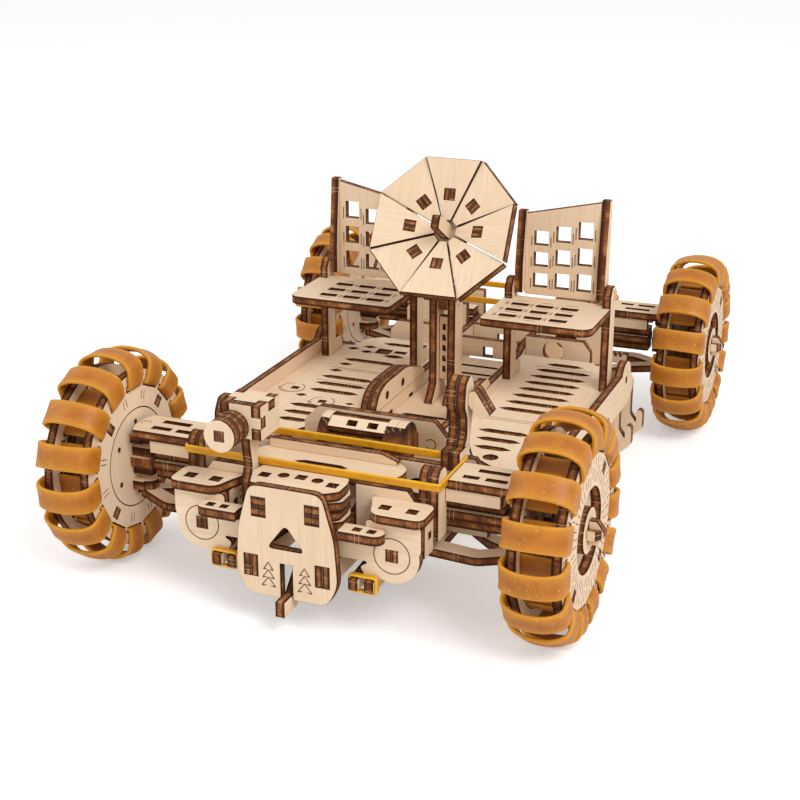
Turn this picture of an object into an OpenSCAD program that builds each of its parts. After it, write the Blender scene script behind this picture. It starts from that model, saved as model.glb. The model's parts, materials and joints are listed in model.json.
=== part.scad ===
// A laser-cut plywood model of an open lunar rover on four rubber-banded wheels.
// Millimetres, +Z up, front towards -Y, origin on the ground below the middle.

/* [Plywood] */
// Thickness of every plywood sheet
ply = 3; // [2.4:0.1:3.6]
// Gap left between two sheets that lie against each other
gap = 0.1; // [0.05:0.01:0.2]
// Side of a square tab hole
tab = 4; // [3:0.1:4.8]

/* [Overall] */
// Distance between the front and rear axles
wheel_base = 184; // [150:1:224]
// Distance between the left and right wheel centres
track = 150; // [125:1:180]
// How far the deck's top lies below the axles
deck_drop = 1.8; // [1:0.1:3]

/* [Wheels] */
// Radius over the rubber bands
wheel_r = 35; // [29:0.5:42]
// Width of a wheel over its two rim discs
rim_w = 16; // [13:0.5:20]
// How far the bands stand proud of the rim discs
tread_rise = 6.5; // [5:0.1:8]
// Number of rubber bands round a wheel
tread_n = 15; // [13:2:15]
// Width of a rubber band
tread_w = 8; // [6.5:0.1:8.6]
// Thickness of a rubber band
tread_t = 1.3; // [1:0.1:1.6]
// Radius of the hub disc
hub_r = 7; // [6:0.5:9]
// Radius of the wheel's axle
axle_r = 3; // [2.4:0.1:3.6]
// Radial running clearance of axles and pins
run = 0.05; // [0.03:0.01:0.08]

/* [Steering] */
// Radius of the kingpins and the other pivot pins
pin_r = 1.5; // [1.2:0.1:1.8]
// Distance from a wheel's middle to its kingpin
king_in = 12; // [11:0.5:14]
// Radius of the hub carrier's round plate
carrier_r = 16; // [14:0.5:18]

/* [Body] */
// Height of the upper arms' underside above the axles
arm_up = 9.2; // [8.5:0.1:11]
// Depth of the lower arms' top below the axles
arm_down = 10; // [9.5:0.1:12]
// Width of an upper arm
arm_w = 14; // [11:0.5:16]
// Half the width of the gap between the two deck plates
tunnel_half = 15.4; // [13:0.1:18]
// Height of the seat pans above the deck
seat_h = 31.8; // [26:0.1:38]
// Depth of a seat pan from front to back
seat_d = 33; // [27:0.5:40]
// Height of a seat back
back_h = 36; // [30:0.5:43]

/* [Antenna] */
// Height of the mast above the deck
mast_h = 37; // [31:0.5:44]
// Diameter of the dish across its corners
dish_d = 56; // [46:0.5:67]
// Height of the dish's middle above the mast's top
dish_up = 23; // [20:0.5:27]

/* [Hidden] */
$fn = 48;
eps = 0.01;
birch = "burlywood";
amber = "darkorange";
honey = "goldenrod";

// Wheels, worked out from the inside to the outside
pitch = 360 / tread_n;
band_reach = norm([wheel_r, tread_w / 2]);
axle_z = band_reach * cos(pitch / 2 - atan2(tread_w / 2, wheel_r));
axle_y = wheel_base / 2;
half_track = track / 2;
rim_r = wheel_r - tread_rise;
band_half = rim_w / 2 + 0.3 + tread_t;
band_foot = rim_r - 5.3;
crown_r = 0.4 * wheel_r;
slot_room = 0.3;
opening_r = hub_r + 6;
backing_r = band_foot - slot_room - 0.9;
spacer_at = (carrier_r + slot_room + backing_r) / 2 + 0.9;

// Levels, measured from the axles' height
deck_z = -deck_drop;
deck_under = deck_z - ply;
pan_z = deck_z + seat_h;
arm_z = arm_up;
wish_z = -arm_down - ply;
frame_low = wish_z;
frame_high = arm_z - gap;

// Places along and across the body
kin = half_track - king_in;
deck_half = half_track - 16.2;
deck_rear = axle_y - wheel_r + 2;
deck_front = axle_y - wheel_r - 10;
rail_x = deck_half + ply / 2 + gap;
rail_end = axle_y - wheel_r - 3;
rail_rear = rail_end - 4.5;
post_x = deck_half - 20.8;
band_t = 0.8;
arm_x0 = post_x + ply + gap + band_t + 0.4;
stack_half = 15.6;
tops_x0 = stack_half + ply + 1.9;
seat_in = tunnel_half + 1.7;
seat_out = deck_half - 4.8;
seat_y1 = seat_d;
mast_y = 13;
mast_top = deck_z + mast_h;
dish_z = mast_top + dish_up;

// ---- helpers -------------------------------------------------------------

// Both sides of the body
module both() { children(); mirror([1, 0, 0]) children(); }
// Front and rear ends of the body
module ends() { children(); mirror([0, 1, 0]) children(); }
// Everything on the body is drawn from the axles' height
module lift() { translate([0, 0, axle_z]) children(); }
// A level sheet whose underside is at z
module level(z, t = ply) { translate([0, 0, z]) linear_extrude(t) children(); }
// An upright sheet across the body, its outline drawn in x and z, from y towards +Y
module across(y, t = ply) { translate([0, y + t, 0]) rotate([90, 0, 0]) linear_extrude(t) children(); }
// An upright sheet along the body, its outline drawn in y and z, from x towards +X
module along(x, t = ply) { translate([x, 0, 0]) rotate([90, 0, 90]) linear_extrude(t) children(); }
// A box between two corners, drawn flat
module span(x0, x1, y0, y1) { translate([x0, y0]) square([x1 - x0, y1 - y0]); }
// The same with round corners
module round_span(x0, x1, y0, y1, r) {
    span(x0 + r, x1 - r, y0, y1);
    span(x0, x1, y0 + r, y1 - r);
    for (x = [x0 + r, x1 - r], y = [y0 + r, y1 - r]) translate([x, y]) circle(r);
}
// A polygon's points with every corner eased by a short curve that starts r before it
function eased(p, r) = [for (i = [0 : len(p) - 1])
    let (a = p[(i + len(p) - 1) % len(p)], v = p[i], b = p[(i + 1) % len(p)],
         s = v + (a - v) * min(r / norm(a - v), 0.45), e = v + (b - v) * min(r / norm(b - v), 0.45))
    each [for (t = [0 : 0.25 : 1]) (1 - t) * (1 - t) * s + 2 * t * (1 - t) * v + t * t * e]];
// The outline of a cut sheet
module outline(p, r = 1.4) { polygon(eased(p, r)); }
// A slot along x with pointed ends
module slot(x0, x1, y, w = 2.2) {
    h = w / 2;
    polygon([[x0, y], [x0 + 2 * h, y + h], [x1 - 2 * h, y + h], [x1, y],
             [x1 - 2 * h, y - h], [x0 + 2 * h, y - h]]);
}
// A square tab hole
module tab_hole(x, y, s = tab) { translate([x - s / 2, y - s / 2]) square(s); }
// A lozenge
module lozenge(x, y, w, h) { polygon([[x - w / 2, y], [x, y + h / 2], [x + w / 2, y], [x, y - h / 2]]); }

// ---- deck ----------------------------------------------------------------

slot_pitch = 7.4;
slot_in = tunnel_half + 10;
slot_out = deck_half - 11.4;
slot_w = 3.4;
rear_slots = floor((deck_rear + 2) / slot_pitch);

// Outline of a deck plate on the +X side
module deck_outline() {
    difference() {
        outline([[tunnel_half + gap, deck_rear - 1], [deck_half - 15, deck_rear - 1],
                 [deck_half - 9, deck_rear - 7], [deck_half - 9, deck_rear - 14],
                 [deck_half, deck_rear - 20], [deck_half, -deck_front + 3],
                 [deck_half - 11, -deck_front - 8], [deck_half - 16, -deck_front - 8],
                 [deck_half - 27, -deck_front], [tunnel_half + 4.6, -22], [tunnel_half + gap, -16]]);
        // notches for the seat legs' feet
        span(seat_out - gap, seat_out + ply + gap, seat_y1 - 5, seat_y1 + 2);
        span(seat_in - gap, seat_in + ply + gap, seat_y1 - 5, seat_y1 + 2);
    }
}
module deck_right() {
    color(birch) lift() level(deck_under) difference() {
        deck_outline();
        for (i = [0 : rear_slots - 1])
            slot(slot_in + (i == 0 ? 2 : 0), slot_out - (i == 0 ? 5 : 0), deck_rear - 8.4 - i * slot_pitch, slot_w);
        for (i = [0 : 2]) slot(slot_in + i * 1.8, slot_out - 3 - i, -23.7 - i * slot_pitch, slot_w);
        translate([deck_half - 21.2, -deck_front + 0.8]) circle(2.6);
    }
}
module deck_left() {
    color(birch) lift() level(deck_under) mirror([1, 0]) difference() {
        deck_outline();
        slot(slot_in + 1, deck_half - 18.5, deck_rear - 8.3, slot_w);
        lozenge(deck_half - 9.8, deck_rear - 18.5, 5.5, 3.4);
        lozenge(deck_half - 15.5, deck_rear - 14.5, 6, 3.4);
        lozenge(deck_half - 16.5, deck_rear - 20.5, 6, 3.4);
        tab_hole(deck_half - 22.7, deck_rear - 18, 6);
        span(slot_in + 1.5, slot_in + 6.5, deck_rear - 18.5, deck_rear - 15.5);
        slot(slot_in, slot_in + 9.5, deck_rear - 22.5, slot_w);
        slot(slot_in, slot_out, 27.5, slot_w);
        lozenge(deck_half - 14.7, 21.8, 6, 3.2);
        lozenge(deck_half - 14.3, 13.7, 6, 3.2);
        for (i = [0 : 2]) slot(slot_in, slot_out - i, 6.4 - i * slot_pitch, slot_w);
        tab_hole(slot_out + 3, -9.5, 3);
        lozenge(deck_half - 13.7, -15.5, 5, 3);
        tab_hole(slot_in + 9.7, -19.2, 3);
        lozenge(slot_in - 0.5, -18, 4, 2.4);
        for (i = [0 : 2]) slot(slot_in + 2 + i * 1.5, slot_out - 2 - i, -25 - i * 7, slot_w);
    }
}

// The lower deck between the two tunnel rails
mid_z = frame_low + 3.5;
mid_half = tunnel_half - ply - gap;
module deck_middle() {
    color(birch) lift() level(mid_z) difference() {
        span(-mid_half, mid_half, -axle_y + 32, axle_y - 32);
        for (y = [-44 : 9 : -8]) slot(-mid_half + 3, mid_half - 3, y);
        for (y = [24 : 9 : 52]) slot(-mid_half + 3, mid_half - 3, y);
    }
}

// ---- rails and frames ----------------------------------------------------

rail_low = deck_under - 5;
rail_top = deck_z + 5.2;
bump_y = seat_y1 + 5;
bump_r = 7;
module side_rails() {
    color(birch) lift() both() along(rail_x - ply / 2) {
        difference() {
            union() {
                outline([[-rail_end + 14, rail_low], [rail_rear - 6, rail_low], [rail_rear, rail_low + 4],
                         [rail_rear, rail_top - 6], [bump_y + 4, rail_top], [-rail_end + 16, rail_top],
                         [-rail_end + 12, rail_top + 2.5], [-rail_end + 7, rail_top + 2.5],
                         [-rail_end + 4, rail_top - 2], [-rail_end + 4, rail_low + 7]]);
                translate([bump_y, rail_top - 3]) circle(bump_r);
            }
            tab_hole(bump_y, rail_top - 3, 2.4);
            span(-6, 14, rail_low + 1.8, rail_low + 3.8);
        }
    }
}

// The two long upright sheets that carry the body from end to end
tunnel_front = axle_y + 12;
module tunnel_rails() {
    color(birch) lift() both() along(tunnel_half - ply) difference() {
        outline([[-tunnel_front, frame_low + 4], [-axle_y + 30, frame_low],
                 [axle_y - 30, frame_low], [tunnel_front, frame_low + 4],
                 [tunnel_front, -2], [tunnel_front - 10, 1], [axle_y - 28, 1], [axle_y - 34, deck_z],
                 [-axle_y + 34, deck_z], [-axle_y + 28, 1], [-tunnel_front + 10, 1], [-tunnel_front, -2]]);
        for (y = [-30 : 20 : 50]) tab_hole(y, deck_under - 2.5);
    }
}

// The doubled sheets that stand beside the console
console_top = deck_z + 8;
console_x = tunnel_half - ply;
module console_sides() {
    color(birch) lift() {
        for (i = [0 : 1]) mirror([1, 0, 0]) along(console_x + i * (ply + gap)) difference() {
            outline([[-24, deck_z + gap], [25, deck_z + gap], [22, deck_z + 3], [6, console_top],
                     [-14, console_top], [-20, console_top - 2]], 2.5);
            translate([-13, deck_z + 3.4]) circle(1.5);
            translate([2, deck_z + 3.4]) circle(1.5);
        }
        along(console_x) outline([[-20, deck_z + gap], [20, deck_z + gap], [16, deck_z + 4],
                                  [-4, deck_z + 4], [-12, deck_z + 9], [-17, deck_z + 8]]);
    }
}

// Upright sheets across the body that close the tunnel and carry the arms
frame_ys = [axle_y - 30, axle_y - 12, axle_y + 10];
frame_half = deck_half - 17;
post_in = post_x - ply;
frame_tops = [deck_z + 6.5, frame_high, frame_high];
frame_outs = [frame_half, frame_half, post_in - gap];
module frame_sheet(out, top) {
    difference() {
        polygon([[tunnel_half + gap, wish_z + ply + gap], [out, wish_z + ply + gap],
                 [out, top - 4], [out - 3, top], [tunnel_half + gap, top]]);
        translate([tunnel_half + 11.5, -0.5]) circle(4.2);
    }
}
module cross_frames() {
    color(birch) lift() ends() for (i = [0 : 2]) {
        both() across(-frame_ys[i] - ply) frame_sheet(frame_outs[i], frame_tops[i]);
        across(-frame_ys[i] - ply) difference() {
            span(-mid_half, mid_half, mid_z + ply + gap, 1);
            tab_hole(0, -4);
        }
    }
}

// ---- suspension ----------------------------------------------------------

// Upper arm of the front right corner
module arm_top() {
    difference() {
            polygon([[arm_x0, -axle_y - arm_w / 2], [kin + 1, -axle_y - arm_w / 2], [kin + 2.4, -axle_y - 3],
                     [kin + 2.4, -axle_y + 3], [kin + 1, -axle_y + arm_w / 2], [arm_x0, -axle_y + arm_w / 2]]);
        translate([kin, -axle_y]) circle(pin_r + run);
        span(arm_x0 + 3, arm_x0 + 8, -axle_y - 4, -axle_y - 1.6);
        span(arm_x0 + 10, kin - 4, -axle_y - 4, -axle_y - 1.6);
        span(arm_x0 + 6, kin - 5, -axle_y + 1.6, -axle_y + 4);
    }
}
module arms() {
    both() {
        level(arm_z) arm_top();
        for (s = [-1, 1]) across(-axle_y + s * (arm_w / 2 - 2) - ply / 2)
            span(post_x + ply + 2 * gap, kin - 4.8, arm_z - 4 - gap, arm_z - gap);
    }
}
module front_arms() { color(birch) lift() arms(); }
module rear_arms() { color(birch) lift() mirror([0, 1, 0]) arms(); }

// Layered half shafts between the frames and the steered hub carriers
shaft_end = kin - 4.7;
shaft_half = 4.5;
// Three boards, the middle one the widest, from x0 to x1 about the line y
module shaft_boards(x0, x1, y) {
    for (i = [-1 : 1]) level(-ply / 2 + i * (ply + gap))
        span(x0, x1, y - shaft_half + 1.4 * abs(i), y + shaft_half - 1.4 * abs(i));
}
module shafts() { both() shaft_boards(tunnel_half + gap, shaft_end, -axle_y); }
module front_shafts() { color(birch) lift() shafts(); }
module rear_shafts() { color(birch) lift() mirror([0, 1, 0]) shafts(); }

// Lower arms: one open triangle a corner
module wishbone() {
    difference() {
        union() {
            outline([[tunnel_half + gap, -axle_y - 8], [tunnel_half + 20, -axle_y - 8],
                     [kin - 11, -axle_y - 9.5], [kin + 1, -axle_y - 2.5], [kin + 1, -axle_y + 2.5],
                     [kin - 11, -axle_y + 8], [tunnel_half + 22, -axle_y + 20], [tunnel_half + gap, -axle_y + 20]], 2);
            translate([kin, -axle_y]) circle(3);
        }
        translate([kin, -axle_y]) circle(pin_r + run);
        polygon([[tunnel_half + 24, -axle_y - 2.5], [kin - 12, -axle_y - 4], [kin - 4.5, -axle_y],
                 [kin - 12, -axle_y + 3.5], [tunnel_half + 24, -axle_y + 14]]);
        span(tunnel_half + 6, tunnel_half + 17, -axle_y - 2, -axle_y + 13);
    }
}
module front_wishbones() { color(birch) lift() both() level(wish_z) wishbone(); }
module rear_wishbones() { color(birch) lift() mirror([0, 1, 0]) both() level(wish_z) wishbone(); }

// Toothed bars that lie on the lower arms
tooth = 2;
module racks() {
    color(birch) lift() ends() both() across(-axle_y + 4) difference() {
        span(frame_half - 4, kin - 12, wish_z + ply + gap, wish_z + ply + 4);
        for (x = [frame_half - 2 : tooth : kin - 14])
            translate([x, wish_z + ply + 3]) square([tooth / 2, 2]);
    }
}

// ---- front and rear ends -------------------------------------------------

bracket_y = axle_y + 20;
bracket_x = post_x - 7;
bracket_top = 3.1;
eye_z = -7.3;
module bracket() {
    difference() {
        union() {
            outline([[bracket_x - 18, eye_z + 3], [bracket_x - 8, eye_z + 3], [bracket_x - 8, bracket_top],
                     [bracket_x + 9, bracket_top], [bracket_x + 9, eye_z + 2], [bracket_x + 7, eye_z],
                     [bracket_x - 5, eye_z - 3], [bracket_x - 18, eye_z - 3]]);
            translate([bracket_x, eye_z]) circle(8.6);
            outline([[bracket_x - 10, eye_z - 5], [bracket_x - 5, eye_z - 2], [bracket_x, eye_z - 7],
                     [bracket_x - 8.5, eye_z - 7.6]], 1);
        }
        tab_hole(bracket_x, eye_z);
    }
}
// Flat bars with round ends in front of the brackets, level with the control block
bar_z = -2.1;
bar_y0 = -axle_y - 29;
module bar() {
    level(bar_z) difference() {
        union() {
            span(push_half + gap, bracket_x - 4, bar_y0, -bracket_y - ply - gap);
            translate([bracket_x - 4, (bar_y0 - bracket_y - ply - gap) / 2])
                circle((-bracket_y - ply - gap - bar_y0) / 2);
        }
        tab_hole(bracket_x - 9.5, (bar_y0 - bracket_y - ply) / 2, 2.6);
        tab_hole(bracket_x - 5, (bar_y0 - bracket_y - ply) / 2, 2.6);
    }
}
// Sheets along the body that join each bracket to the first cross frame
module bracket_ties() {
    for (x = [bracket_x - 8, bracket_x + 6]) along(x) difference() {
        span(-bracket_y + gap, -frame_ys[2] - ply - gap, -8, bracket_top);
        tab_hole(-bracket_y + 4, -2, 2.4);
    }
}
// Doubled ends of a cross bar that fill a bracket's eye
module bracket_pegs() {
    for (j = [0, 1]) along(bracket_x - tab / 2 + gap + j * (tab - gap) / 2, tab / 2 - 1.5 * gap)
        span(-bracket_y - ply, -bracket_y + 4, eye_z - tab / 2 + gap, eye_z + tab / 2 - gap);
}
module front_brackets() {
    color(birch) lift() both() {
        across(-bracket_y - ply) bracket();
        bracket_ties();
        bracket_pegs();
        bar();
    }
}
module rear_brackets() {
    color(birch) lift() mirror([0, 1, 0]) both() {
        across(-bracket_y - ply) bracket();
        bracket_ties();
        bracket_pegs();
    }
}
// Level sheets on top of the brackets, hollowed towards the control block
module bracket_tops() {
    color(birch) lift() ends() both() level(bracket_top + gap) difference() {
        outline([[tops_x0, -frame_ys[2] - ply - gap], [bracket_x + 10, -frame_ys[2] - ply - gap],
                 [bracket_x + 10, -bracket_y - ply - 2], [bracket_x - 6, -bracket_y - ply - 2],
                 [bracket_x - 8, -bracket_y + 2]], 3.2);
        tab_hole(bracket_x - 3.5, -bracket_y + 0.5, 3.4);
        tab_hole(bracket_x + 5, -bracket_y + 0.5, 3.4);
    }
}

// Layers of the control block behind the push plate
push_y = axle_y + 26;
stack_n = 4;
stack_low = -2;
stack_step = ply + gap;
stack_tab = 2.1;
push_hole_x = 8.6;
push_foot_x = 11.6;
module stack_sheet(i) {
    difference() {
        union() {
            outline([[-stack_half, -push_y + 8], [-stack_half + 3, -push_y + gap], [11, -push_y + gap],
                     [stack_half - i % 2, -push_y + 3], [stack_half - i % 2, -push_y + 9],
                     [stack_half - 2, -frame_ys[2] - ply - gap], [-stack_half + 1, -frame_ys[2] - ply - gap]], 1);
            // tabs through the push plate
            if (i == 1 || i == 2) for (s = [-1, 1], j = [-1, 1])
                translate([s * push_hole_x + j * (stack_tab / 2 + gap) - stack_tab / 2, -push_y - ply])
                    square([stack_tab, ply + 1]);
        }
        for (x = [-11, 0, 11]) tab_hole(x, -push_y + 6.5 + (x == 0 ? 2 : 0), 3.4);
        if (i == stack_n - 1) for (x = [-5.5, 5.5]) translate([x, -push_y + 8]) circle(1.8);
    }
}
module control_stack() {
    color(birch) lift() for (i = [0 : stack_n - 1]) level(stack_low + i * stack_step) stack_sheet(i);
}

// The push plate at the front, with a lever through its foot
push_half = 16.5;
push_low = -24.3;
push_high = 11;
push_hole_z = stack_low + stack_step;
foot_hole_z = -18.4;
foot_hole_h = 6.8;
module push_plate() {
    color(birch) lift() across(-push_y - ply) difference() {
        outline([[-11.6, push_high], [11.6, push_high], [15.5, -3], [push_half, push_low + 7],
                 [13, push_low], [-13, push_low], [-push_half, push_low + 7], [-15.5, -3]], 3);
        outline([[-6, -8.4], [6, -8.4], [0, -0.4]], 1.8);
        span(-2, 2, push_low - 1, -13);
        for (s = [-1, 1]) {
            translate([s * push_hole_x - stack_tab - 2 * gap, push_hole_z - gap])
                square([2 * stack_tab + 4 * gap, 2 * ply + 3 * gap]);
            translate([s * push_foot_x - stack_tab - 2 * gap, foot_hole_z - gap])
                square([2 * stack_tab + 4 * gap, foot_hole_h + 2 * gap]);
        }
    }
}
lever_z = -25.5;
module push_lever() {
    color(birch) lift() {
        along(-ply / 2) polygon([[-push_y - ply - 5, lever_z - 2.5], [-push_y - ply - 5, lever_z + 2.5],
                                 [-push_y - 1, lever_z + 2.5], [-push_y + 6, -16], [-axle_y - 2, mid_z - gap],
                                 [-axle_y + 34, mid_z - gap], [-axle_y + 34, mid_z - 4], [-axle_y, -19],
                                 [-push_y + 8, -21], [-push_y, lever_z - 2.5]]);
        // doubled bars whose ends fill the push plate's lower holes
        for (s = [-1, 1], j = [-1, 1])
            along(s * push_foot_x + j * (stack_tab / 2 + gap) - stack_tab / 2, stack_tab)
                polygon([[-push_y - ply, foot_hole_z], [-push_y - ply, foot_hole_z + foot_hole_h],
                         [-push_y + 4, foot_hole_z + foot_hole_h], [-tunnel_front + 4, frame_low - gap],
                         [-tunnel_front + 30, frame_low - gap], [-tunnel_front + 30, foot_hole_z]]);
    }
}

// The narrow tray with an upright back
tray_z = 1.5 * ply + gap + 0.4;
tray_y0 = -axle_y - 6;
tray_y1 = -frame_ys[1] - ply - gap;
tray_half = 25;
module front_tray() {
    color(birch) lift() {
        level(tray_z) difference() {
            round_span(-tray_half, tray_half, tray_y0, tray_y1, 7);
            slot(-10, 8, tray_y0 + 4.5, 3);
        }
        across(tray_y1 - ply) outline([[-tray_half + 3, tray_z + ply + gap], [tray_half - 4, tray_z + ply + gap],
            [tray_half - 4, tray_z + ply + 1.2], [tray_half - 9, tray_z + 2 * ply],
            [-tray_half + 3, tray_z + 2 * ply]], 0.8);
    }
}

// The slatted drum behind the tray, the level sheet it stands on and the upright sheet behind it
drum_y = -(frame_ys[0] + frame_ys[1] + ply) / 2;
drum_r = (frame_ys[1] - frame_ys[0] - ply) / 2 - 2 * gap;
drum_foot = 1 + ply + 2 * gap;
drum_z = drum_foot + 5.4;
drum_x0 = -9;
drum_x1 = 19.4;
slat_h = 4.4;
slat_up = drum_r - ply - 0.4;
module drum() {
    color(birch) lift() {
        for (x = [drum_x0, drum_x1 - 2 * ply - gap, drum_x1 - ply]) along(x) union() {
            translate([drum_y, drum_z]) circle(drum_r);
            span(drum_y - drum_r, drum_y + drum_r, drum_foot, drum_z);
        }
        for (a = [-30, 30, 90]) translate([0, drum_y, drum_z]) rotate([a, 0, 0]) level(slat_up) difference() {
            span(drum_x0 + ply + gap, drum_x1 - 2 * ply - 2 * gap, -slat_h / 2, slat_h / 2);
            if (a > 0) for (x = [0, 7]) translate([x, -1.2]) square([3.4, 2.4]);
        }
        level(1 + gap) difference() {
            span(-tunnel_half, post_in - gap, -frame_ys[1] + gap, -frame_ys[0] - ply - gap);
            for (x = [24, 31]) tab_hole(x, drum_y, 3);
        }
        across(-frame_ys[0] - ply) outline([[-20, frame_tops[0] + gap], [30, frame_tops[0] + gap], [30, 9.5],
                                            [25, 15.2], [-15, 15.2], [-20, 10]], 0.8);
    }
}

// ---- camera and band posts -----------------------------------------------

cam_x = -18.7;
cam_y = -axle_y - 19;
cam_z = 20.5;
cam_w = 13.4;
cam_h = 10.6;
cam_d = 12.3;
// The box's sheets lock together at its corners: the side sheets pass through the front one above
// and below, and the top one passes through the sides near the back
cam_tooth = 3.6;
cam_x0 = cam_x - cam_w / 2;
cam_x1 = cam_x + cam_w / 2;
cam_y1 = cam_y + cam_d;
cam_top = cam_z + cam_h;
module camera_box() {
    color(birch) lift() {
        across(cam_y) {
            span(cam_x0 + ply + gap, cam_x1 - ply - gap, cam_z, cam_top);
            span(cam_x0, cam_x1, cam_z + cam_tooth, cam_top - cam_tooth);
        }
        for (x = [cam_x0, cam_x1 - ply]) along(x) difference() {
            union() {
                span(cam_y + ply + gap, cam_y1, cam_z, cam_top);
                for (z = [cam_z, cam_top - cam_tooth + gap])
                    span(cam_y, cam_y1, z, z + cam_tooth - gap);
            }
            span(cam_y1 - 7 - gap, cam_y1 - 3 + gap, cam_top - ply - gap, cam_top + 1);
        }
        level(cam_top - ply) {
            span(cam_x0 + ply + gap, cam_x1 - ply - gap, cam_y + ply + gap, cam_y1);
            span(cam_x0, cam_x1, cam_y1 - 7, cam_y1 - 3);
        }
        level(cam_z) span(cam_x0 + ply + gap, cam_x1 - ply - gap, cam_y + ply + gap, cam_y1);
        across(cam_y1 - ply) span(cam_x0 + ply + gap, cam_x1 - ply - gap, cam_z + ply + gap, cam_top - ply - gap);
        // the post below the box, in front of the rubber band
        along(-stack_half - 0.6 - ply) outline([[cam_y + 0.5, cam_z - gap], [cam_y + 9, cam_z - gap],
            [cam_y + 5.6, cam_z - 5], [cam_y + 5.6, -1], [cam_y, -1], [cam_y, arm_z - 3], [cam_y + 2, arm_z + 2]], 1);
    }
}
lens_r = 5;
lens_n = 3;
lens_hole = 3.4;
lens_x = cam_x - 2.2;
lens_z = cam_z + 3.6;
module camera_lens() {
    color(birch) lift() {
        for (i = [0 : lens_n - 1]) across(cam_y - (i + 1) * (ply + gap)) difference() {
            translate([lens_x, lens_z]) circle(lens_r);
            if (i > 0) tab_hole(lens_x, lens_z, lens_hole);
        }
        // the doubled peg that fills the discs' holes
        for (x = [-lens_hole / 2 + gap, gap / 2])
            translate([lens_x + x, cam_y - lens_n * (ply + gap), lens_z - lens_hole / 2 + gap])
                cube([lens_hole / 2 - 1.5 * gap, (lens_n - 1) * (ply + gap) - gap, lens_hole - 2 * gap]);
    }
}

// Posts that the flat rubber band is stretched round at each end
band_y0 = axle_y + 12;
band_y1 = frame_ys[1] + 1;
band_nook = 4;
band_z = arm_z + 1;
band_h = 2.6;
post_w = 7;
post_top = arm_z + ply + 4;
module post_pair(y0, low) {
    for (i = [0, 1]) along(post_in + i * (ply + gap))
        outline([[y0, low], [y0 + post_w, low], [y0 + post_w, post_top - 2], [y0 + post_w - 2, post_top],
                 [y0 + 2, post_top], [y0, post_top - 2]]);
}
module band_posts() {
    color(birch) lift() {
        ends() both() post_pair(-band_y0, -6);
        // shorter inner posts that stand on the frames, notched for the band
        ends() both() for (i = [0, 1]) along(post_in + i * (ply + gap))
            polygon([[-band_y1 - 5, frame_high + gap], [-band_y1, frame_high + gap],
                     [-band_y1, band_z + band_h + 0.4], [-band_y1 + band_nook, band_z + band_h + 0.4],
                     [-band_y1 + band_nook, post_top - 1], [-band_y1 - 5, post_top - 1]]);
    }
}
// The tall stepped post on the right
module side_post() {
    y = -band_y1 + band_nook;
    color(birch) lift() for (i = [0, 1]) along(post_in + i * (ply + gap))
        outline([[y - 5, post_top - 1 + gap], [y, post_top - 1 + gap], [y + 1, post_top + 5], [y + 3, post_top + 10],
                 [y + 3, post_top + 17], [y, post_top + 21], [y - 4, post_top + 19], [y - 5, post_top + 12],
                 [y - 2.5, post_top + 8], [y - 2.5, post_top + 2]]);
    // the doubled handle that slopes down from its outer face
    x = post_in + 2 * (ply + gap);
    color(birch) lift() for (i = [0, 1]) across(y - 2.5 + i * (ply + gap))
        outline([[x, post_top + 16], [x + 2, post_top + 17], [x + 7, post_top + 9.5],
                 [x + 4, post_top + 8], [x, post_top + 12]], 0.8);
}
module band_loop() {
    x = post_x + ply + 2 * gap + band_t;
    level(band_z, band_h) difference() {
        round_span(-x, x, -band_y0 - gap - band_t, -band_y1 + gap + band_t, band_t);
        span(-x + band_t, x - band_t, -band_y0 - gap, -band_y1 + gap);
    }
}
module front_band() { color(honey) lift() band_loop(); }
module rear_band() { color(honey) lift() mirror([0, 1, 0]) band_loop(); }

// Upturned hooks that hang outside the rails
hook_ys = [max(rail_rear, bump_y + bump_r) + gap, bump_y - 6];
hook_tops = [rail_top - 7, rail_low - gap];
hook_low = -27;
module tow_hooks() {
    color(birch) lift() both() for (i = [0, 1]) across(hook_ys[i])
        outline([[rail_x - 7, hook_tops[i]], [rail_x + 1, hook_tops[i]], [rail_x + 1, -17],
                 [rail_x + 3.4, -20.5], [rail_x + 3.4, -15.8], [rail_x + 4.6, -15], [rail_x + 5.8, -16],
                 [rail_x + 5.8, -22.5], [rail_x + 1, hook_low], [rail_x - 4, hook_low], [rail_x - 7, -19]], 0.8);
}

// Forked bars under the front with small bands round their tips
fork_z = frame_low - 4;
module spring_forks() {
    color(birch) lift() both() for (i = [0, 1]) along(tunnel_half + 3 + i * (ply + 2))
        polygon([[-bracket_y - 6, fork_z - 2], [-bracket_y - 6, fork_z + 1.6], [-axle_y + 14, frame_low - gap],
                 [-axle_y + 19, frame_low - gap], [-axle_y + 19, fork_z], [-axle_y, fork_z - 2]]);
}
module spring_bands() {
    color(honey) lift() both() across(-bracket_y - 5.4, 2) difference() {
        span(tunnel_half + 3 - gap - band_t, tunnel_half + 5 + 2 * ply + gap + band_t, fork_z - 2 - gap - band_t, fork_z + 2 + gap + band_t);
        span(tunnel_half + 3 - gap, tunnel_half + 5 + 2 * ply + gap, fork_z - 2 - gap, fork_z + 2 + gap);
    }
}

// ---- mast and dish -------------------------------------------------------

module mast() {
    color(birch) lift() {
        both() along(2) difference() {
            polygon([[mast_y - 9, mid_z + ply + gap], [mast_y + 7, mid_z + ply + gap], [mast_y + 4, deck_z + 2],
                     [mast_y + 4, mast_top], [mast_y - 4, mast_top], [mast_y - 4, deck_z + 2]]);
            translate([mast_y, mast_top - 4]) circle(pin_r + run);
        }
        across(mast_y - 1.5) difference() {
            span(-2 + gap, 2 - gap, deck_z + 3, mast_top - 10);
            for (z = [deck_z + 6 : 4 : mast_top - 13]) translate([-0.6, z]) square([1.2, 2]);
        }
    }
}

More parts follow.
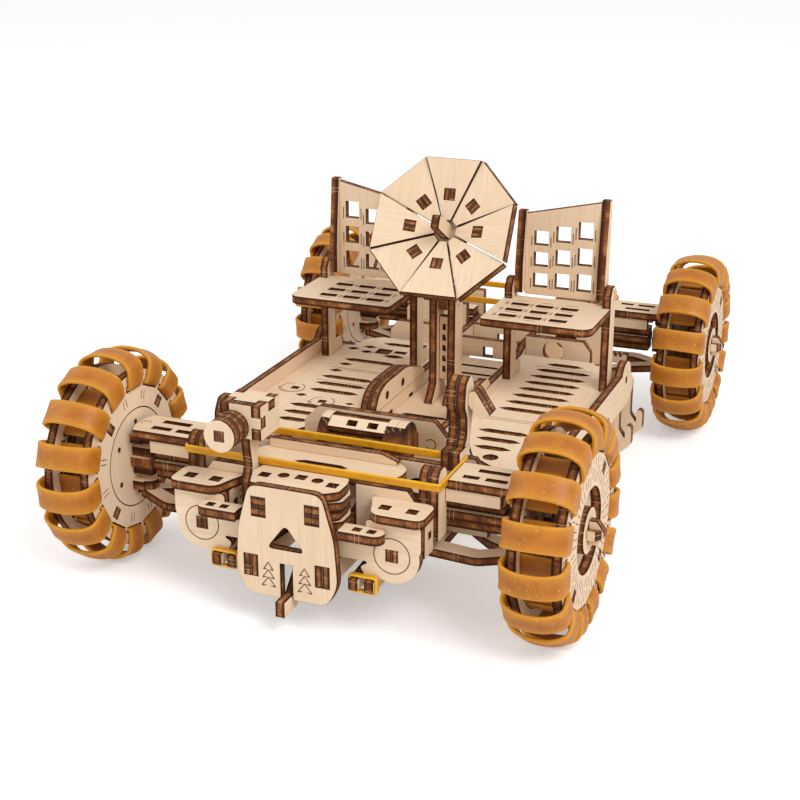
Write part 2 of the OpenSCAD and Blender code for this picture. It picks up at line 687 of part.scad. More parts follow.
petal_n = 8;
petal_pitch = 360 / petal_n;
petal_lean = 13;
dish_back = 30;
petal_gap = 0.45 * ply;
petal_step = 1.5;
rib_h = 4.6;
rib_in = 4.2;
feed_w = 5;
feed_l = 14;
petal_in = 1.5 * ply;
petal_out = dish_d / 2 * cos(petal_pitch / 2);
dish_x = 3.5;
dish_y = mast_y - 9;
// Puts a shape drawn level at the dish's place, facing forward and up
module at_dish() { translate([dish_x, dish_y, dish_z]) rotate([90 - dish_back, 0, 0]) children(); }
// Puts a shape at the back of petal i, x running outwards along it; every other petal leans more
module at_petal(i) {
    rotate(i * petal_pitch) translate([petal_in, 0, 0])
        rotate([0, -petal_lean - (i % 2 == 0 ? petal_step : -petal_step), 0]) children();
}
petal_l = petal_out - petal_in;
// Where the yoke meets the back of the dish's middle plate, above and below its centre
yoke_back = ply + 2 * gap;
yoke_r = 5;
yoke_y0 = dish_y + yoke_back * cos(dish_back) - yoke_r * sin(dish_back);
yoke_z0 = dish_z - yoke_back * sin(dish_back) - yoke_r * cos(dish_back);
yoke_y1 = dish_y + yoke_back * cos(dish_back) + yoke_r * sin(dish_back);
yoke_z1 = dish_z - yoke_back * sin(dish_back) + yoke_r * cos(dish_back);
petal_hole = petal_l * 0.42;
rib_t = (tab - 3 * gap) / 2;
module dish_petals() {
    color(birch) lift() at_dish() for (i = [0 : petal_n - 1]) at_petal(i) linear_extrude(ply) difference() {
        w_in = petal_in * tan(petal_pitch / 2) - petal_gap / 2;
        w_out = petal_out * tan(petal_pitch / 2) - petal_gap / 2;
        polygon([[0, -w_in], [petal_l, -w_out], [petal_l, w_out], [0, w_in]]);
        tab_hole(petal_hole, 0);
    }
}
// Doubled ribs behind the petals, whose tabs fill the petals' holes, and the yoke to the mast
module dish_ribs() {
    color(birch) lift() at_dish() {
        translate([0, 0, -ply - gap]) linear_extrude(ply) circle(petal_in + 3, $fn = petal_n);
        for (i = [0 : petal_n - 1], j = [0, 1]) at_petal(i)
            translate([0, j * (rib_t + gap) - gap / 2, 0]) rotate([90, 0, 0]) linear_extrude(rib_t) {
                polygon([[rib_in, -gap], [rib_in, -ply], [petal_hole, -rib_h], [petal_hole + 5, -1.2], [petal_hole + 5, -gap]]);
                span(petal_hole - tab / 2 + gap, petal_hole + tab / 2 - gap, -gap - eps, ply);
            }
    }
    color(birch) lift() {
        along(-ply / 2) polygon([[mast_y - 3.5, mast_top - 7], [mast_y + 3, mast_top - 7],
            [mast_y + 3, dish_z - 4], [yoke_y1, yoke_z1], [yoke_y0, yoke_z0], [mast_y - 3.5, dish_z - 12]]);
        translate([-2 - ply, mast_y, mast_top - 4]) rotate([0, 90, 0]) cylinder(r = pin_r, h = 4 + 2 * ply);
    }
}
// The feed: a blunt stick that stands on the dish's middle plate
module dish_feed() {
    color(birch) lift() at_dish() along(-ply / 2)
        outline([[-feed_w / 2, gap], [feed_w / 2, gap], [feed_w / 2, feed_l], [-feed_w / 2, feed_l]], 1.2);
}

// ---- seats ---------------------------------------------------------------

hinge_y = seat_y1 - 1;
hinge_z = pan_z + 3.6;
leg_w = 7;
module seat_pans() {
    color(birch) lift() both() {
        level(pan_z - ply) difference() {
            outline([[seat_in, 0], [seat_out + ply - 2.5, 0], [seat_out + ply, 2.5], [seat_out + ply, seat_y1 - 1],
                     [seat_in, seat_y1 - 1]], 1.6);
            // room for the legs, which carry the pan between them
            span(seat_in - 1, seat_in + ply + gap, seat_y1 - 6, seat_y1);
            span(seat_out - gap, seat_out + ply + 1, seat_y1 - 6, seat_y1);
            for (i = [0 : 2], j = [0 : 2])
                translate([seat_in + 5 + i * 9.2, 5 + j * 7.4]) square([6.4, 3.2]);
        }
        level(pan_z - 2 * ply - gap) span(seat_in + ply + 2, seat_out - 2, seat_y1 - 16, seat_y1 - 7);
    }
}
module seat_legs() {
    color(birch) lift() both() for (x = [seat_in, seat_out]) along(x) difference() {
        polygon([[seat_y1 - 5 + gap, deck_under], [seat_y1 + 2 - gap, deck_under], [seat_y1 + 2 - gap, deck_z + gap],
                 [seat_y1 + 8, deck_z + gap], [seat_y1 + 8, deck_z + 3.5], [seat_y1 + 6, deck_z + 5.5],
                 [seat_y1 + 2 - gap, deck_z + 5.5], [seat_y1 + 2 - gap, hinge_z + 2],
                 [hinge_y + 1.6, hinge_z + 3.4], [hinge_y - 1.6, hinge_z + 3.4], [seat_y1 - 5 + gap, hinge_z]]);
        translate([hinge_y, hinge_z]) circle(pin_r + run);
    }
}
// A seat back on the +X side: sheet, two side posts and two pins
back_in = seat_in + ply + gap;
back_out = seat_out - gap;
module seat_back() {
    back_low = hinge_z - 3;
    low_side = back_h - 6;
    across(hinge_y + 1) difference() {
        polygon([[back_in + ply + gap, back_low], [back_out - ply - gap, back_low],
                 [back_out - ply - gap, back_low + back_h], [back_in + ply + gap, back_low + low_side]]);
        for (i = [0 : 2], j = [0 : 2]) {
            s = 0.82 + 0.09 * i;
            translate([back_in + 6.2 + i * 8.2, back_low + 3 + j * 9.6 * s]) square([5.4, 6.4 * s]);
        }
    }
    for (x = [back_in, back_out - ply]) along(x)
        polygon([[hinge_y - 1.6, hinge_z - 2], [hinge_y + 4, hinge_z - 2],
                 [hinge_y + 4, back_low + (x == back_in ? low_side : back_h) + 1],
                 [hinge_y + 1, back_low + (x == back_in ? low_side : back_h) + 1], [hinge_y - 1.6, hinge_z + 8]]);
    for (x = [back_in - ply, back_out - eps]) translate([x, hinge_y, hinge_z])
        rotate([0, 90, 0]) cylinder(r = pin_r, h = ply + eps);
}
module seat_back_right() { color(birch) lift() seat_back(); }
module seat_back_left() { color(birch) lift() mirror([1, 0, 0]) seat_back(); }

// ---- wheels --------------------------------------------------------------

// A corner's own frame: x outwards from the wheel's middle, for corner c
corners = [["fl", -1, -1], ["fr", 1, -1], ["rl", -1, 1], ["rr", 1, 1]];
module corner(c) {
    sx = corners[c][1];
    sy = corners[c][2];
    translate([sx * half_track, sy * axle_y, axle_z]) mirror([sx < 0 ? 1 : 0, 0, 0]) children();
}
disc_in = -rim_w / 2;
disc_out = rim_w / 2 - ply;
back_x = disc_out - ply - gap;
module band_slots() {
    for (k = [0 : tread_n - 1]) rotate(-90 + (k + 0.5) * pitch)
        translate([band_foot - slot_room, -tread_w / 2 - 0.2])
            square([tread_t + 2 * slot_room, tread_w + 0.4]);
}
module rim() {
    along(disc_in) difference() {
        circle(rim_r);
        circle(carrier_r + slot_room);
        band_slots();
        spacer_cut();
    }
    along(disc_out) difference() {
        circle(rim_r);
        circle(opening_r);
        band_slots();
        spacer_cut();
    }
    along(back_x) difference() {
        circle(backing_r);
        circle(axle_r + run);
        spacer_cut();
    }
    for (a = [45 : 90 : 315]) rotate([a, 0, 0])
        translate([disc_in, -ply / 2, spacer_at - spacer_h / 2]) cube([rim_w, ply, spacer_h]);
}
spacer_h = min(3.4, backing_r - carrier_r - slot_room - 1.2);
module spacer_cut() {
    for (a = [45 : 90 : 315]) rotate(a) translate([spacer_at - spacer_h / 2 - gap, -ply / 2 - gap])
        square([spacer_h + 2 * gap, ply + 2 * gap]);
}
// One closed rubber band, drawn across the wheel
module band_outline(grow) {
    intersection() {
        span(-band_half + grow, band_half - grow, band_foot + grow, wheel_r - grow);
        translate([0, wheel_r - crown_r]) circle(crown_r - grow, $fn = 96);
    }
}
module tread() {
    for (k = [0 : tread_n - 1]) rotate([(k + 0.5) * pitch, 0, 0])
        mirror([0, 0, 1]) across(-tread_w / 2, tread_w) difference() {
            band_outline(0);
            band_outline(tread_t);
        }
}
// The hub: one disc and a pointed nose of crossed sheets
nose_r = 3.7;
nose_l = 4.6;
module hub() {
    nose_x = disc_out + ply + 2 * gap;
    along(disc_out + gap) difference() { circle(hub_r); circle(axle_r + run); }
    translate([nose_x, ply / 2, 0]) rotate([90, 0, 0]) linear_extrude(ply)
        polygon([[0, -nose_r], [nose_l / 2, -nose_r], [nose_l, -0.7], [nose_l, 0.7], [nose_l / 2, nose_r], [0, nose_r]]);
    for (s = [0, 1]) mirror([0, s, 0]) translate([nose_x, 0, -ply / 2]) linear_extrude(ply)
        polygon([[0, ply / 2 + gap], [0, nose_r], [nose_l / 2, nose_r], [nose_l * 0.85, ply / 2 + gap]]);
}
// The steered hub carrier: round plate, two lugs on the kingpin and the axle
module knuckle() {
    lug = king_in - rim_w / 2 - gap;
    along(disc_in) difference() {
        circle(carrier_r);
        circle(axle_r + gap);
        for (a = [30 : 60 : 330]) rotate(a) translate([carrier_r - 4, 0]) circle(0.9);
    }
    for (s = [-1, 1]) {
        z0 = s > 0 ? arm_z - gap - ply : wish_z + ply + gap;
        level(z0) {
            translate([-king_in, -4]) square([lug, 8]);
            translate([-king_in, 0]) circle(3);
        }
        translate([-king_in, 0, s > 0 ? z0 + ply - eps : z0 - ply])
            cylinder(r = pin_r, h = ply + eps);
    }
    shaft_boards(-king_in - 3, disc_in - gap, 0);
    translate([disc_in - gap, 0, 0]) rotate([0, 90, 0]) cylinder(r = axle_r, h = disc_out + ply - disc_in + gap);
}

module knuckle_fl() { color(birch) corner(0) knuckle(); }
module knuckle_fr() { color(birch) corner(1) knuckle(); }
module knuckle_rl() { color(birch) corner(2) knuckle(); }
module knuckle_rr() { color(birch) corner(3) knuckle(); }
module rim_fl() { color(birch) corner(0) rim(); }
module rim_fr() { color(birch) corner(1) rim(); }
module rim_rl() { color(birch) corner(2) rim(); }
module rim_rr() { color(birch) corner(3) rim(); }
module tread_fl() { color(amber) corner(0) tread(); }
module tread_fr() { color(amber) corner(1) tread(); }
module tread_rl() { color(amber) corner(2) tread(); }
module tread_rr() { color(amber) corner(3) tread(); }
module hub_fl() { color(birch) corner(0) hub(); }
module hub_fr() { color(birch) corner(1) hub(); }
module hub_rl() { color(birch) corner(2) hub(); }
module hub_rr() { color(birch) corner(3) hub(); }

deck_left();
deck_right();
deck_middle();
side_rails();
tunnel_rails();
console_sides();
cross_frames();
front_arms();
rear_arms();
front_shafts();
rear_shafts();
front_wishbones();
rear_wishbones();
racks();
front_brackets();
rear_brackets();
bracket_tops();
push_plate();
push_lever();
control_stack();
front_tray();
drum();
camera_box();
camera_lens();
band_posts();
front_band();
rear_band();
side_post();
mast();
tow_hooks();
spring_forks();
spring_bands();
seat_pans();
seat_legs();
seat_back_left();
seat_back_right();
dish_petals();
dish_ribs();
dish_feed();
knuckle_fl();
knuckle_fr();
knuckle_rl();
knuckle_rr();
rim_fl();
rim_fr();
rim_rl();
rim_rr();
tread_fl();
tread_fr();
tread_rl();
tread_rr();
hub_fl();
hub_fr();
hub_rl();
hub_rr();
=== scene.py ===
# %% [markdown]
# # A plywood model of a lunar rover, finished in Blender
# What is left to do is the finish: pale birch faces, laser-burnt edges, engraved lines and the
# rubber bands that make the tyres.

# %% Load the frame
import json
import math

import bmesh
import bpy
import numpy as np
from mathutils import Matrix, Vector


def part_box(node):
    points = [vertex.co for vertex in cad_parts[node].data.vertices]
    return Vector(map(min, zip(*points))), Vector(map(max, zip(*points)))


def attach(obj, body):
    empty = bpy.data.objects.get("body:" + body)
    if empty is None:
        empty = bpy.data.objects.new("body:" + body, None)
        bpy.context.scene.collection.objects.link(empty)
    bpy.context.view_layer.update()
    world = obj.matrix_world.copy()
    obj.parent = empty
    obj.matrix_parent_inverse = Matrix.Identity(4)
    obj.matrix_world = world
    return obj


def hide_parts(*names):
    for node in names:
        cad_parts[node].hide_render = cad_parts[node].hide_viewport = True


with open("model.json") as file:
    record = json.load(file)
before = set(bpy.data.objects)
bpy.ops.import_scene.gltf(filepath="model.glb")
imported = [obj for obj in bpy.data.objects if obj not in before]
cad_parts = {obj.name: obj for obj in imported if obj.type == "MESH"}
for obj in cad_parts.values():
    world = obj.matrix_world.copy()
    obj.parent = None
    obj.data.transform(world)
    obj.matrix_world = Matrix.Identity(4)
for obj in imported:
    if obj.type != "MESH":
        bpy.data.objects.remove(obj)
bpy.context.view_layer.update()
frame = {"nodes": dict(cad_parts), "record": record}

MM = 0.001
CORNERS = ("fl", "fr", "rl", "rr")
bodies = frame["record"]["behaviour"]["bodies"]
body_of = {node: body for body, nodes in bodies.items() for node in nodes}
slots = {part["node"]: part["material_slot"] for part in frame["record"]["subparts"]}
joints = {joint["name"]: joint for joint in frame["record"]["behaviour"]["joints"]}


def mid(node):
    """The middle of a CAD node's box, as a numpy point in metres."""
    low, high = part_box(node)
    return (np.array(low) + np.array(high)) / 2


# %% [markdown]
# ## Shared shader effects
# Two effects serve several finishes, so each is a node group. *Flecks* scatters small marks whose
# size, stretch and sharpness are inputs: stretched along one direction they are wood grain, round
# they are specks in rubber. *Scorch* is what a laser leaves on a cut edge: a dark skin on the two
# outer veneers and a mottled, golden-brown middle. A group gives out only colours and values, and
# the shader itself stays in each material.

# %% Node helpers
def group(name, inputs, outputs):
    """A new shader node group with named sockets: (tree, its input node, its output node)."""
    tree = bpy.data.node_groups.new(name, "ShaderNodeTree")
    for label, kind, value in inputs:
        socket = tree.interface.new_socket(label, in_out="INPUT", socket_type="NodeSocket" + kind)
        if value is not None:
            socket.default_value = value
    for label, kind in outputs:
        tree.interface.new_socket(label, in_out="OUTPUT", socket_type="NodeSocket" + kind)
    return tree, tree.nodes.new("NodeGroupInput"), tree.nodes.new("NodeGroupOutput")


def node(tree, kind, **settings):
    """A node of that kind. Settings are attributes, or inputs when the name starts with in_."""
    made = tree.nodes.new("ShaderNode" + kind)
    for key, value in settings.items():
        if key.startswith("in_"):
            made.inputs[key[3:].replace("_", " ")].default_value = value
        else:
            setattr(made, key, value)
    return made


def math_node(tree, operation, a, b=None, clamp=False):
    """One Math node, fed by numbers or sockets."""
    made = node(tree, "Math", operation=operation, use_clamp=clamp)
    for i, value in enumerate((a, b)):
        if value is None:
            continue
        if isinstance(value, (int, float)):
            made.inputs[i].default_value = value
        else:
            tree.links.new(value, made.inputs[i])
    return made.outputs[0]


def mix_node(tree, factor, a, b, blend="MIX"):
    """A colour Mix node, fed by colours or sockets."""
    made = node(tree, "Mix", data_type="RGBA", blend_type=blend)
    for socket, value in ((made.inputs[0], factor), (made.inputs[6], a), (made.inputs[7], b)):
        if hasattr(value, "is_output"):
            tree.links.new(value, socket)
        else:
            socket.default_value = value
    return made.outputs[2]


def near(tree, value, middle, far, close):
    """1 where value is within close of middle, falling smoothly to 0 at a distance of far."""
    distance = math_node(tree, "ABSOLUTE", math_node(tree, "SUBTRACT", value, middle))
    made = node(tree, "MapRange", interpolation_type="SMOOTHSTEP",
                in_From_Min=far, in_From_Max=close)
    tree.links.new(distance, made.inputs["Value"])
    return made.outputs[0]


def ramp_node(tree, factor, stops):
    """A Color Ramp through (position, colour) stops."""
    made = node(tree, "ValToRGB")
    elements = made.color_ramp.elements
    while len(elements) < len(stops):
        elements.new(0.5)
    for element, (position, colour) in zip(elements, stops):
        element.position = position
        element.color = colour
    tree.links.new(factor, made.inputs[0])
    return made.outputs[0]


def srgb(r, g, b):
    """A colour named by its 0 to 255 display values, as the linear RGBA that Blender uses:
    c / 12.92 in the darkest part, ((c + 0.055) / 1.055)^2.4 above it."""
    c = np.array([r, g, b]) / 255
    linear = np.where(c <= 0.04045, c / 12.92, ((c + 0.055) / 1.055) ** 2.4)
    return (*[float(v) for v in linear], 1.0)


# %% Flecks: grain, fibres and specks
def make_flecks():
    """Value between 0 and 1: noise at Scale, stretched along x by Stretch below 1, that rises
    smoothly from 0 at Low to 1 at High."""
    tree, source, out = group(
        "Flecks",
        [("Vector", "Vector", None), ("Scale", "Float", 1.0), ("Stretch", "Float", 1.0),
         ("Detail", "Float", 3.0), ("Low", "Float", 0.4), ("High", "Float", 0.6)],
        [("Value", "Float")])
    squeeze = node(tree, "CombineXYZ")
    tree.links.new(source.outputs["Stretch"], squeeze.inputs[0])
    squeeze.inputs[1].default_value = 1
    squeeze.inputs[2].default_value = 1
    product = node(tree, "VectorMath", operation="MULTIPLY")
    tree.links.new(source.outputs["Vector"], product.inputs[0])
    tree.links.new(squeeze.outputs[0], product.inputs[1])
    noise = node(tree, "TexNoise", in_Roughness=0.6)
    tree.links.new(product.outputs[0], noise.inputs["Vector"])
    tree.links.new(source.outputs["Scale"], noise.inputs["Scale"])
    tree.links.new(source.outputs["Detail"], noise.inputs["Detail"])
    span = node(tree, "MapRange", interpolation_type="SMOOTHSTEP")
    tree.links.new(noise.outputs[0], span.inputs["Value"])
    tree.links.new(source.outputs["Low"], span.inputs["From Min"])
    tree.links.new(source.outputs["High"], span.inputs["From Max"])
    tree.links.new(span.outputs[0], out.inputs[0])
    return tree


flecks_group = make_flecks()


def flecks(tree, vector, scale, stretch=1.0, detail=3.0, low=0.4, high=0.6):
    """The Flecks group placed in a material, with its values set."""
    made = tree.nodes.new("ShaderNodeGroup")
    made.node_tree = flecks_group
    tree.links.new(vector, made.inputs["Vector"])
    for name, value in (("Scale", scale), ("Stretch", stretch), ("Detail", detail),
                        ("Low", low), ("High", high)):
        made.inputs[name].default_value = value
    return made.outputs[0]


# %% Scorch: the laser's cut across three veneers
def make_scorch():
    """Colour of a cut edge. Along is the way along the cut in mm, Depth the way through the sheet
    from 0 to 1, and Spot any point for the mottling."""
    tree, source, out = group(
        "Scorch",
        [("Along", "Float", 0.0), ("Depth", "Float", 0.5), ("Spot", "Vector", None)],
        [("Color", "Color"), ("Height", "Float")])

    def place(stretch):
        """Along and Depth as one point, the depth scaled by stretch."""
        point = node(tree, "CombineXYZ")
        depth = math_node(tree, "MULTIPLY", source.outputs["Depth"], stretch)
        tree.links.new(source.outputs["Along"], point.inputs[0])
        tree.links.new(depth, point.inputs[1])
        return point.outputs[0]

    cloud = flecks(tree, place(3.0), scale=0.2, detail=3.0, low=0.3, high=0.7)
    streak = flecks(tree, place(0.35), scale=2.4, detail=2.0, low=0.3, high=0.7)
    soot = flecks(tree, source.outputs["Spot"], scale=2600.0, detail=2.0, low=0.35, high=0.65)
    # 0 on the two outer veneers, 1 in the middle one
    middle = near(tree, source.outputs["Depth"], 0.5, far=0.46, close=0.12)
    light = math_node(tree, "ADD", 0.22, math_node(tree, "ADD", math_node(
        tree, "MULTIPLY", cloud, 0.5), math_node(tree, "MULTIPLY", streak, 0.2)))
    glow = math_node(tree, "ADD", math_node(tree, "MULTIPLY", middle, light),
                     math_node(tree, "MULTIPLY", soot, 0.1), clamp=True)
    colour = ramp_node(tree, glow, [
        (0.0, srgb(47, 23, 12)), (0.25, srgb(76, 39, 20)), (0.5, srgb(113, 65, 33)),
        (0.75, srgb(154, 98, 53)), (1.0, srgb(202, 146, 92))])
    # thin pale bridges, where the beam passed quickly
    bridge = node(tree, "TexNoise", in_Scale=0.16, in_Detail=0.0)
    tree.links.new(place(0.0), bridge.inputs["Vector"])
    narrow = near(tree, bridge.outputs[0], 0.62, far=0.0045, close=0.0015)
    colour = mix_node(tree, math_node(tree, "MULTIPLY", narrow, 0.6), colour, srgb(214, 184, 146))
    tree.links.new(colour, out.inputs[0])
    tree.links.new(glow, out.inputs[1])
    return tree


scorch_group = make_scorch()


# %% [markdown]
# ## Birch plywood
# To finish it like real laser-cut plywood the material has to know three things that a colour
# picker can't tell it: which faces are the veneer and which are the cut edge, which way the grain
# runs, and how deep through the sheet a point lies. They are worked out once per sheet in numpy
# and stored on the mesh, so a single material serves all.

# %% Birch material
def principled(name):
    """A material with one Principled BSDF: (material, tree, shader)."""
    material = bpy.data.materials.new(name)
    material.use_nodes = True
    tree = material.node_tree
    return material, tree, tree.nodes["Principled BSDF"]


def make_birch():
    """Veneer and burnt edge in one material, told apart by the mesh's own attributes."""
    material, tree, shader = principled("birch plywood")
    sheet = node(tree, "UVMap", uv_map="sheet")
    point = node(tree, "TexCoord").outputs["Object"]
    edge = node(tree, "Attribute", attribute_name="edge").outputs["Fac"]
    tone = node(tree, "Attribute", attribute_name="tone").outputs["Fac"]
    grain = flecks(tree, sheet.outputs[0], scale=0.9, stretch=0.06, detail=5.0, low=0.3, high=0.75)
    fibre = flecks(tree, sheet.outputs[0], scale=5.5, stretch=0.045, detail=3.0,
                   low=0.50, high=0.78)
    cloud = flecks(tree, sheet.outputs[0], scale=0.055, stretch=0.5, detail=2.0, low=0.3, high=0.7)
    face = mix_node(tree, grain, srgb(244, 220, 191), srgb(235, 204, 169))
    face = mix_node(tree, math_node(tree, "MULTIPLY", fibre, 0.35), face, srgb(198, 162, 122))
    face = mix_node(tree, math_node(tree, "MULTIPLY", cloud, 0.35), face, srgb(224, 196, 163))
    face = mix_node(tree, math_node(tree, "MULTIPLY", tone, 0.22), face, srgb(212, 176, 138))
    parts = node(tree, "SeparateXYZ")
    tree.links.new(sheet.outputs[0], parts.inputs[0])
    scorch = tree.nodes.new("ShaderNodeGroup")
    scorch.node_tree = scorch_group
    tree.links.new(parts.outputs[0], scorch.inputs["Along"])
    tree.links.new(parts.outputs[1], scorch.inputs["Depth"])
    tree.links.new(point, scorch.inputs["Spot"])
    colour = mix_node(tree, edge, face, scorch.outputs["Color"])
    tree.links.new(colour, shader.inputs["Base Color"])
    rough = math_node(tree, "ADD", 0.62, math_node(tree, "MULTIPLY", edge, 0.2))
    tree.links.new(rough, shader.inputs["Roughness"])
    shader.inputs["Specular IOR Level"].default_value = 0.22
    height = mix_node(tree, edge, grain, scorch.outputs["Height"])
    bump = node(tree, "Bump", in_Strength=0.25, in_Distance=0.00012)
    tree.links.new(height, bump.inputs["Height"])
    tree.links.new(bump.outputs[0], shader.inputs["Normal"])
    return material


birch = make_birch()


# %% Reading a sheet
def loose_parts(triangles, count):
    """A label for each vertex: vertices joined by triangles share one, found by label spreading."""
    label = np.arange(count)
    edges = np.concatenate([triangles[:, [0, 1]], triangles[:, [1, 2]], triangles[:, [2, 0]]])
    while True:
        before = label.copy()
        low = np.minimum(label[edges[:, 0]], label[edges[:, 1]])
        np.minimum.at(label, edges[:, 0], low)
        np.minimum.at(label, edges[:, 1], low)
        label = label[label]
        if np.array_equal(label, before):
            return label


def sheet_axes(points, normals, areas):
    """The sheet's own axes (grain, across, through) from its faces: through is the direction that
    most of its area looks along, of those in which it is about as thin as it gets, and grain is
    the longer way in the plane."""
    rounded = np.round(normals, 2)
    rounded *= np.where((rounded @ np.array([1, 0.1, 0.01]) < 0)[:, None], -1, 1)
    rounded += 0.0  # turns -0.0 into 0.0, which np.unique tells apart
    kinds, which = np.unique(rounded, axis=0, return_inverse=True)
    kinds /= np.linalg.norm(kinds, axis=1)[:, None]
    weight = np.bincount(which.ravel(), weights=areas)
    extent = np.ptp(points @ kinds.T, axis=0)
    extent[weight < 0.12 * weight.sum()] = np.inf
    through = kinds[np.where(extent < 1.2 * extent.min(), weight, 0).argmax()]
    helper = np.eye(3)[np.abs(through).argmin()]
    first = np.cross(through, helper)
    first /= np.linalg.norm(first)
    second = np.cross(through, first)
    if np.ptp(points @ first) < np.ptp(points @ second):
        first, second = second, first
    return first, second, through


def merged_copy(name):
    """A merged copy of a CAD node's mesh as a bmesh, still in triangles: a flat face with a hole
    in it can't be one polygon, and the bevel would tear it."""
    mesh = frame["nodes"][name].data
    bm = bmesh.new()
    bm.from_mesh(mesh)
    bmesh.ops.remove_doubles(bm, verts=bm.verts, dist=2e-6)
    return bm


def values_of(items, field, columns=1, kind=float):
    """One property of a mesh's items as a numpy array, with a row of columns for each item."""
    values = np.empty(len(items) * columns, dtype=kind)
    items.foreach_get(field, values)
    return values.reshape(-1, columns) if columns > 1 else values


def finish_sheets(name, soften=0.12 * MM):
    """The CAD node's sheets as one finished piece: attributes, birch material and a fine bevel.
    Faces that look less than 0.9 along the sheet's through direction are its cut edge."""
    bm = merged_copy(name)
    mesh = bpy.data.meshes.new("ply_" + name)
    bm.to_mesh(mesh)
    bm.free()
    mesh.calc_loop_triangles()
    points = values_of(mesh.vertices, "co", 3)
    label = loose_parts(values_of(mesh.loop_triangles, "vertices", 3, int), len(points))
    count = len(mesh.polygons)
    normals = values_of(mesh.polygons, "normal", 3)
    areas = values_of(mesh.polygons, "area")
    starts = values_of(mesh.polygons, "loop_start", kind=int)
    totals = values_of(mesh.polygons, "loop_total", kind=int)
    corner_vertex = values_of(mesh.loops, "vertex_index", kind=int)
    face_of_corner = np.repeat(np.arange(count), totals)
    part_of_face = label[corner_vertex[starts]]
    uv = np.zeros((len(corner_vertex), 2))
    edge = np.zeros(count)
    tone = np.zeros(count)
    seam = 400  # mm by which one sheet's grain is moved from the next one's, at most
    random = np.random.default_rng(sum(ord(c) for c in name))
    for part in np.unique(part_of_face):
        faces = part_of_face == part
        grain, across, through = sheet_axes(points[label == part], normals[faces], areas[faces])
        cut = faces & (np.abs(normals @ through) < 0.9)
        edge[cut] = 1
        tone[faces] = random.random()
        offset = random.random(2) * seam
        corners = faces[face_of_corner]
        spots = points[corner_vertex[corners]]
        flat = np.stack([spots @ grain, spots @ across], axis=1) / MM + offset
        depth = (spots @ through) / MM
        depth = (depth - depth.min()) / max(np.ptp(depth), 1e-6)
        tangent = np.cross(through, normals[face_of_corner[corners]])
        along = (spots * tangent).sum(axis=1) / MM + offset[0]
        on_cut = cut[face_of_corner[corners]][:, None]
        uv[corners] = np.where(on_cut, np.stack([along, depth], axis=1), flat)
    layer = mesh.uv_layers.new(name="sheet")
    layer.data.foreach_set("uv", uv.ravel())
    for label_name, values in (("edge", edge), ("tone", tone)):
        mesh.attributes.new(label_name, "FLOAT", "FACE").data.foreach_set("value", values)
    piece = bpy.data.objects.new(mesh.name, mesh)
    bpy.context.scene.collection.objects.link(piece)
    mesh.materials.clear()
    mesh.materials.append(birch)
    bevel = piece.modifiers.new("soft edges", "BEVEL")
    bevel.width = soften
    bevel.segments = 1
    bevel.limit_method = "ANGLE"
    bevel.angle_limit = math.radians(50)
    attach(piece, body_of[name])
    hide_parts(name)


# %% Finish every sheet of plywood
birch_nodes = [name for name, slot in slots.items() if slot == "birch"]
for name in birch_nodes:
    finish_sheets(name)
print("plywood pieces:", len(birch_nodes))


# %% [markdown]
# ## Rubber-band tyres
# Every tyre is a ring of wide rubber bands, each stretched over the two rim discs and passed
# through a slot in them. A band is a closed path, a dome over a flat foot, and a thin rounded
# strip carried along it.

# %% Rubber material
def make_rubber(name, colour, deep, thin, rough):
    """Amber latex: warm and faintly clouded, with tiny specks. Towards the strip's two cut edges,
    where the attribute rim reaches 1, light comes through and the colour turns to thin."""
    material, tree, shader = principled(name)
    point = node(tree, "TexCoord").outputs["Object"]
    rim = node(tree, "Attribute", attribute_name="rim").outputs["Fac"]
    cloud = flecks(tree, point, scale=160.0, detail=3.0, low=0.3, high=0.7)
    speck = flecks(tree, point, scale=1300.0, detail=1.0, low=0.70, high=0.74)
    pale = flecks(tree, point, scale=1000.0, detail=1.0, low=0.69, high=0.73)
    body = mix_node(tree, cloud, srgb(*colour), srgb(*deep))
    lit = math_node(tree, "MULTIPLY", math_node(tree, "POWER", rim, 2.0), 0.85)
    body = mix_node(tree, lit, body, srgb(*thin))
    body = mix_node(tree, math_node(tree, "MULTIPLY", speck, 0.5), body, srgb(96, 56, 22))
    body = mix_node(tree, math_node(tree, "MULTIPLY", pale, 0.4), body, srgb(240, 196, 120))
    tree.links.new(body, shader.inputs["Base Color"])
    shader.inputs["Roughness"].default_value = rough
    shader.inputs["Subsurface Weight"].default_value = 0.3
    shader.inputs["Subsurface Radius"].default_value = (1.0, 0.45, 0.1)
    shader.inputs["Subsurface Scale"].default_value = 0.0015
    shader.inputs["Specular IOR Level"].default_value = 0.4
    bump = node(tree, "Bump", in_Strength=0.3, in_Distance=0.0001)
    ripple = flecks(tree, point, scale=500.0, detail=4.0, low=0.2, high=0.8)
    tree.links.new(ripple, bump.inputs["Height"])
    tree.links.new(bump.outputs[0], shader.inputs["Normal"])
    return material


tyre_rubber = make_rubber("amber rubber", (191, 117, 31), (173, 99, 19), (216, 150, 30), 0.48)
flat_rubber = make_rubber("yellow rubber", (224, 160, 20), (208, 140, 12), (238, 186, 40), 0.42)


